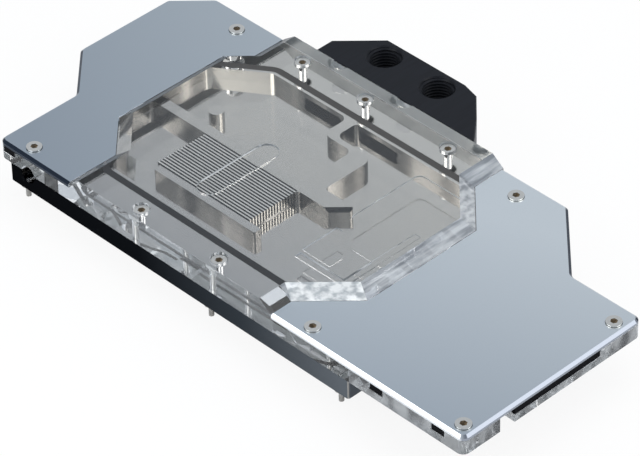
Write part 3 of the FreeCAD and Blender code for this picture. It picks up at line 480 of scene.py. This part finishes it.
def cover_metal():
    """Satin anodised aluminium, with a painted gradient of reflected light towards the back right,
    and bevels painted with bright highlights or dark reflections.
    """
    material, tree, output = new_material("cover_metal")
    metal = add_node(tree, "BsdfPrincipled", Metallic=1.0)
    normal = normal_parts(tree)
    place = place_parts(tree)
    facing_up = above(tree, normal[2], FULLY)
    facing_down = below(tree, normal[2], -FULLY)
    on_right = above(tree, place[0], 0.0)
    grain = noise(tree, scale=3500.0, detail=2.0)

    # Painted gradients of reflected light over the tops of the two covers.
    left_top = ramp_node(tree, plane(tree, place, *LEFT_COVER_PAINTED_LIGHT),
                         [(0.0, linear(183, 192, 201)), (1.0, linear(229, 236, 239))])
    right_top = ramp_node(tree, plane(tree, place, *RIGHT_COVER_PAINTED_LIGHT),
                          [(0.0, linear(190, 200, 210)), (1.0, linear(248, 253, 255))])
    top = mix_colours(tree, on_right, left_top, right_top)
    top = mix_colours(tree, math_node(tree, "MULTIPLY", grain, 0.1), top, linear(168, 176, 184))

    # Painted highlights on the right cover's bevels that face the front and right, and painted dark
    # reflections on the other bevels.
    bright = all_of(tree, on_right, below(tree, normal[1], PARTLY),
                    above(tree, normal[0], -PARTLY))
    shine = ramp_node(tree, normal[0], [(0.3, linear(238, 241, 244)), (0.6, linear(150, 155, 164))])
    bevel = mix_colours(tree, bright, linear(52, 60, 72), shine)
    # The inner edges, facing the middle, painted lighter as a painted reflection.
    outward = math_node(tree, "MULTIPLY", normal[0], math_node(tree, "SIGN", place[0], 0.0))
    inner_edge = all_of(tree, below(tree, outward, -PARTLY),
                        below(tree, size_of(tree, normal[2]), PARTLY))
    bevel = mix_colours(tree, inner_edge, bevel, linear(196, 202, 208))

    colour = mix_colours(tree, facing_up, bevel, top)
    # The undersides painted pale, as painted light seen through the clear top.
    colour = mix_colours(tree, facing_down, colour, linear(205, 208, 212))
    tree.links.new(colour, metal.inputs["Base Color"])
    rough = ramp_node(tree, any_of(tree, facing_up, facing_down),
                      [(0.0, grey(0.08)), (1.0, grey(0.3))])
    tree.links.new(rough, metal.inputs["Roughness"])
    tree.links.new(bump(tree, grain, strength=0.05, distance=0.00005), metal.inputs["Normal"])
    tree.links.new(metal.outputs[0], output.inputs["Surface"])
    return material


def black_acetal():
    """Machined black acetal with fine tool marks."""
    material, tree, output = new_material("black_acetal")
    plastic = add_node(tree, "BsdfPrincipled", Specular_IOR_Level=0.18)
    marks = noise(tree, scale=1200.0, stretch=(1.0, 0.05, 1.0))
    colour = ramp_node(tree, marks, [(0.3, linear(17, 19, 24)), (0.7, linear(23, 25, 31))])
    tree.links.new(colour, plastic.inputs["Base Color"])
    rough = ramp_node(tree, marks, [(0.2, grey(0.34)), (0.8, grey(0.44))])
    tree.links.new(rough, plastic.inputs["Roughness"])
    tree.links.new(bump(tree, marks, strength=0.06, distance=0.0001), plastic.inputs["Normal"])
    tree.links.new(plastic.outputs[0], output.inputs["Surface"])
    return material


def strip_black():
    """A matt black strip whose faces inside the clear top are painted pale, as painted light from
    the clear top around them.
    """
    material, tree, output = new_material("strip_black")
    matt = add_node(tree, "BsdfPrincipled", Roughness=0.7, Specular_IOR_Level=0.05)
    normal = normal_parts(tree)
    # Faces inside the clear top painted pale, as painted light.
    inside = any_of(tree, below(tree, normal[0], -HALF), above(tree, normal[1], HALF),
                    below(tree, normal[2], -HALF))
    mottle = ramp_node(tree, noise(tree, scale=2500.0),
                       [(0.3, linear(14, 14, 16)), (0.7, linear(20, 20, 23))])
    tree.links.new(mix_colours(tree, inside, mottle, linear(178, 180, 182)),
                   matt.inputs["Base Color"])
    tree.links.new(matt.outputs[0], output.inputs["Surface"])
    return material


def seal_rubber():
    """Grey rubber in its groove, with a painted gradient of light that makes it lighter towards the
    back.
    """
    material, tree, output = new_material("seal_rubber")
    matt = add_node(tree, "BsdfPrincipled", Roughness=0.5)
    mottle = noise(tree, scale=2500.0)
    # A painted gradient of light, darker at the front and lighter at the back.
    base = ramp_node(tree, plane(tree, place_parts(tree), *SEAL_PAINTED_LIGHT),
                     [(0.0, linear(58, 60, 64)), (1.0, linear(104, 101, 98))])
    tree.links.new(mix_colours(tree, math_node(tree, "MULTIPLY", mottle, 0.3), base,
                               linear(88, 88, 88)), matt.inputs["Base Color"])
    tree.links.new(bump(tree, mottle, strength=0.1, distance=0.00005), matt.inputs["Normal"])
    tree.links.new(matt.outputs[0], output.inputs["Surface"])
    return material


def fin_nickel():
    """Bright nickel for the bars between the slits."""
    material, tree, output = new_material("fin_nickel")
    metal = add_node(tree, "BsdfPrincipled", Metallic=1.0, Roughness=0.2)
    upward = above(tree, normal_parts(tree)[2], HALF)
    wear = ramp_node(tree, noise(tree, scale=1500.0, stretch=(0.05, 1.0, 1.0)),
                     [(0.3, linear(234, 230, 223)), (0.7, linear(250, 247, 241))])
    # The sides that face into the slits are painted darker than the tops, as painted shade in the
    # slits.
    tree.links.new(mix_colours(tree, upward, linear(206, 202, 196), wear),
                   metal.inputs["Base Color"])
    tree.links.new(metal.outputs[0], output.inputs["Surface"])
    return material


def turned_noise(tree):
    """The fine rings that turning leaves."""
    return noise(tree, scale=3000.0, stretch=(1.0, 1.0, 0.2))


def screw_steel():
    """Turned steel with a brown shade in the sockets."""
    material, tree, output = new_material("screw_steel")
    metal = add_node(tree, "BsdfPrincipled", Metallic=1.0)
    normal = normal_parts(tree)
    place = place_parts(tree)
    turned = turned_noise(tree)
    steel = ramp_node(tree, turned, [(0.3, linear(222, 219, 213)), (0.7, linear(238, 236, 231))])
    floors = any_of(tree, between(tree, place[2], *COVER_SOCKETS_Z),
                    between(tree, place[2], *TOP_SOCKETS_Z))
    socket = all_of(tree, above(tree, normal[2], MOSTLY), floors)
    tree.links.new(mix_colours(tree, socket, steel, linear(106, 92, 74)),
                   metal.inputs["Base Color"])
    rough = ramp_node(tree, size_of(tree, normal[2]), [(0.2, grey(0.3)), (0.9, grey(0.35))])
    tree.links.new(rough, metal.inputs["Roughness"])
    tree.links.new(bump(tree, turned, strength=0.05, distance=0.00005), metal.inputs["Normal"])
    tree.links.new(metal.outputs[0], output.inputs["Surface"])
    return material


def standoff_steel():
    """Turned and plated standoffs."""
    material, tree, output = new_material("standoff_steel")
    metal = add_node(tree, "BsdfPrincipled", Metallic=1.0, Roughness=0.2)
    turned = turned_noise(tree)
    tree.links.new(ramp_node(tree, turned, [(0.3, linear(196, 193, 188)),
                                            (0.7, linear(214, 211, 206))]),
                   metal.inputs["Base Color"])
    tree.links.new(bump(tree, turned, strength=0.05, distance=0.00005), metal.inputs["Normal"])
    tree.links.new(metal.outputs[0], output.inputs["Surface"])
    return material


def dress_nodes():
    """Gives each piece of the frame its material by its slot in the record."""
    finishes = {
        "nickel_plate": nickel_plate(),
        "clear_acrylic": clear_acrylic(),
        "cover_metal": cover_metal(),
        "black_plastic": black_acetal(),
        "strip_black": strip_black(),
        "seal_rubber": seal_rubber(),
        "screw_steel": screw_steel(),
        "standoff_steel": standoff_steel(),
    }
    for part in frame["record"]["subparts"]:
        piece = frame["nodes"][part["node"]]
        piece.data.materials.clear()
        piece.data.materials.append(finishes[part["material_slot"]])
    return finishes


def add_piece(name, verts, faces, finish):
    """A piece of the scene's own that rides on the part."""
    mesh = bpy.data.meshes.new(name)
    mesh.from_pydata(verts, [], faces)
    mesh.update()
    piece = bpy.data.objects.new(name, mesh)
    bpy.context.scene.collection.objects.link(piece)
    piece.data.materials.append(finish)
    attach(piece, "root")


def port_thread(name, mouth, finish):
    """The thread in one port: a helical ridge of V section on the bore's wall."""
    section = [(0.0, -0.5), (-1.0, -CREST_HALF), (-1.0, CREST_HALF), (0.0, 0.5)]
    verts = []
    faces = []
    total = THREAD_TURNS * THREAD_STEPS
    for step in range(total + 1):
        angle = 2 * math.pi * step / THREAD_STEPS
        sink = THREAD_START + THREAD_PITCH * step / THREAD_STEPS
        turns_from_end = min(step, total - step) / THREAD_STEPS
        fade = min(1.0, turns_from_end / THREAD_RUN_OUT)
        for inward, along in section:
            radius = PORT_RADIUS + THREAD_OVERLAP + inward * THREAD_DEPTH * fade
            level = -sink + along * THREAD_PITCH
            verts.append(mouth + Vector((radius * math.cos(angle), radius * math.sin(angle), level)))
    count = len(section)
    for step in range(total):
        for edge in range(count - 1):
            near = step * count + edge
            faces.append((near, near + count, near + count + 1, near + 1))
    add_piece(name, verts, faces, finish)


def fin_bars(finish):
    """The bars between the slits over the chip, laid over the plate's own fins, which are painted
    dark as the shade in the slits.
    """
    pitch = (FIN_BACK - FIN_FRONT - SLIT_WIDTH) / (SLIT_COUNT - 1)
    verts = []
    faces = []
    for number in range(SLIT_COUNT - 1):
        front = FIN_FRONT + SLIT_WIDTH + pitch * number
        back = front + pitch - SLIT_WIDTH
        first = len(verts)
        for y in (front, back):
            for x, z in ((FIN_LEFT, FIN_FOOT), (FIN_RIGHT, FIN_FOOT),
                         (FIN_RIGHT, FIN_TOP), (FIN_LEFT, FIN_TOP)):
                verts.append((x, y, z))
        for corners in ((0, 1, 2, 3), (7, 6, 5, 4), (0, 4, 5, 1),
                        (1, 5, 6, 2), (2, 6, 7, 3), (3, 7, 4, 0)):
            faces.append([first + corner for corner in corners])
    add_piece("fin_bars", verts, faces, finish)


def add_camera():
    """The camera at the photograph's viewing angle."""
    azimuth = math.radians(CAMERA_AZIMUTH)
    elevation = math.radians(CAMERA_ELEVATION)
    roll = math.radians(CAMERA_ROLL)
    ahead = Vector((-math.sin(azimuth) * math.cos(elevation),
                    math.cos(azimuth) * math.cos(elevation),
                    -math.sin(elevation)))
    level_right = Vector((math.cos(azimuth), math.sin(azimuth), 0))
    level_up = level_right.cross(ahead)
    right = level_right * math.cos(roll) + level_up * math.sin(roll)
    up = level_up * math.cos(roll) - level_right * math.sin(roll)
    data = bpy.data.cameras.new("camera")
    data.lens = CAMERA_LENS
    data.sensor_width = SENSOR_WIDTH
    data.sensor_fit = "HORIZONTAL"
    data.clip_end = CAMERA_REACH
    camera = bpy.data.objects.new("camera", data)
    turn = Matrix((right, up, -ahead)).transposed().to_4x4()
    camera.matrix_world = Matrix.Translation(CAMERA_TARGET - ahead * CAMERA_DISTANCE) @ turn
    bpy.context.scene.collection.objects.link(camera)
    bpy.context.scene.camera = camera


def area_light(name, place, target, width, height, power):
    """A soft rectangular lamp that faces a point, with places and sizes in metres."""
    data = bpy.data.lights.new(name, "AREA")
    data.shape = "RECTANGLE"
    data.size = width
    data.size_y = height
    data.energy = power
    lamp = bpy.data.objects.new(name, data)
    lamp.location = place
    lamp.rotation_euler = (Vector(target) - Vector(place)).to_track_quat("-Z", "Y").to_euler()
    bpy.context.scene.collection.objects.link(lamp)
    return lamp


def add_lights():
    """Soft boxes over the object, to its left front and to its right back."""
    top_box = area_light("top_box", place=(0.1, 0.1, 0.9), target=(0.03, 0.0, 0.0),
                         width=0.8, height=0.6, power=4.0)
    # The covers would mirror this lamp as plain white in a view from above.
    top_box.visible_glossy = False
    top_box.visible_transmission = False
    area_light("front_box", place=(-0.1, -0.42, 0.36), target=(0.05, -0.04, 0.02),
               width=0.45, height=0.32, power=0.9)
    area_light("right_box", place=(0.6, 0.3, 0.45), target=(0.16, 0.0, 0.02),
               width=0.5, height=0.5, power=1.4)


def add_floor():
    """A pale floor under the standoffs that the camera sees nearly white."""
    material, tree, output = new_material("studio_floor")
    matt = add_node(tree, "BsdfPrincipled", Roughness=0.9, Base_Color=grey(0.85))
    white = add_node(tree, "Emission", Color=grey(1.0), Strength=1.0)
    path = tree.nodes.new("ShaderNodeLightPath")
    seen = math_node(tree, "MULTIPLY", path.outputs["Is Camera Ray"], FLOOR_WHITE)
    tree.links.new(mix_shaders(tree, seen, matt.outputs[0], white.outputs[0]),
                   output.inputs["Surface"])
    mesh = bpy.data.meshes.new("studio_floor")
    corners = [(-FLOOR_HALF, -FLOOR_HALF), (FLOOR_HALF, -FLOOR_HALF),
               (FLOOR_HALF, FLOOR_HALF), (-FLOOR_HALF, FLOOR_HALF)]
    mesh.from_pydata([(x, y, FLOOR_LEVEL - FLOOR_GAP) for x, y in corners], [], [(0, 1, 2, 3)])
    floor = bpy.data.objects.new("studio_floor", mesh)
    floor.data.materials.append(material)
    bpy.context.scene.collection.objects.link(floor)


def add_world():
    """A soft grey surround that is white behind the object."""
    world = bpy.data.worlds.new("studio_world")
    world.use_nodes = True
    tree = world.node_tree
    tree.nodes.clear()
    output = tree.nodes.new("ShaderNodeOutputWorld")
    direction = tree.nodes.new("ShaderNodeTexCoord")
    parts = tree.nodes.new("ShaderNodeSeparateXYZ")
    tree.links.new(direction.outputs["Generated"], parts.inputs[0])
    surround = ramp_node(tree, parts.outputs[2], [
        (0.0, linear(225, 228, 232)),
        (0.55, linear(205, 212, 220)),
        (1.0, linear(180, 186, 194)),
    ])
    soft = add_node(tree, "Background", Strength=SURROUND_STRENGTH)
    tree.links.new(surround, soft.inputs["Color"])
    white = add_node(tree, "Background", Color=grey(1.0), Strength=1.0)
    path = tree.nodes.new("ShaderNodeLightPath")
    tree.links.new(mix_shaders(tree, path.outputs["Is Camera Ray"],
                               soft.outputs[0], white.outputs[0]), output.inputs["Surface"])
    bpy.context.scene.world = world


bpy.context.scene.view_settings.view_transform = "Standard"
bpy.context.scene.cycles.max_bounces = MAX_BOUNCES
bpy.context.scene.cycles.glossy_bounces = GLOSSY_BOUNCES
bpy.context.scene.cycles.transmission_bounces = TRANSMISSION_BOUNCES
finishes = dress_nodes()
for number, mouth in enumerate(PORT_PLACES, start=1):
    port_thread("port_thread_%d" % number, mouth, finishes["black_plastic"])
fin_bars(fin_nickel())
add_floor()
add_world()
add_lights()
add_camera()
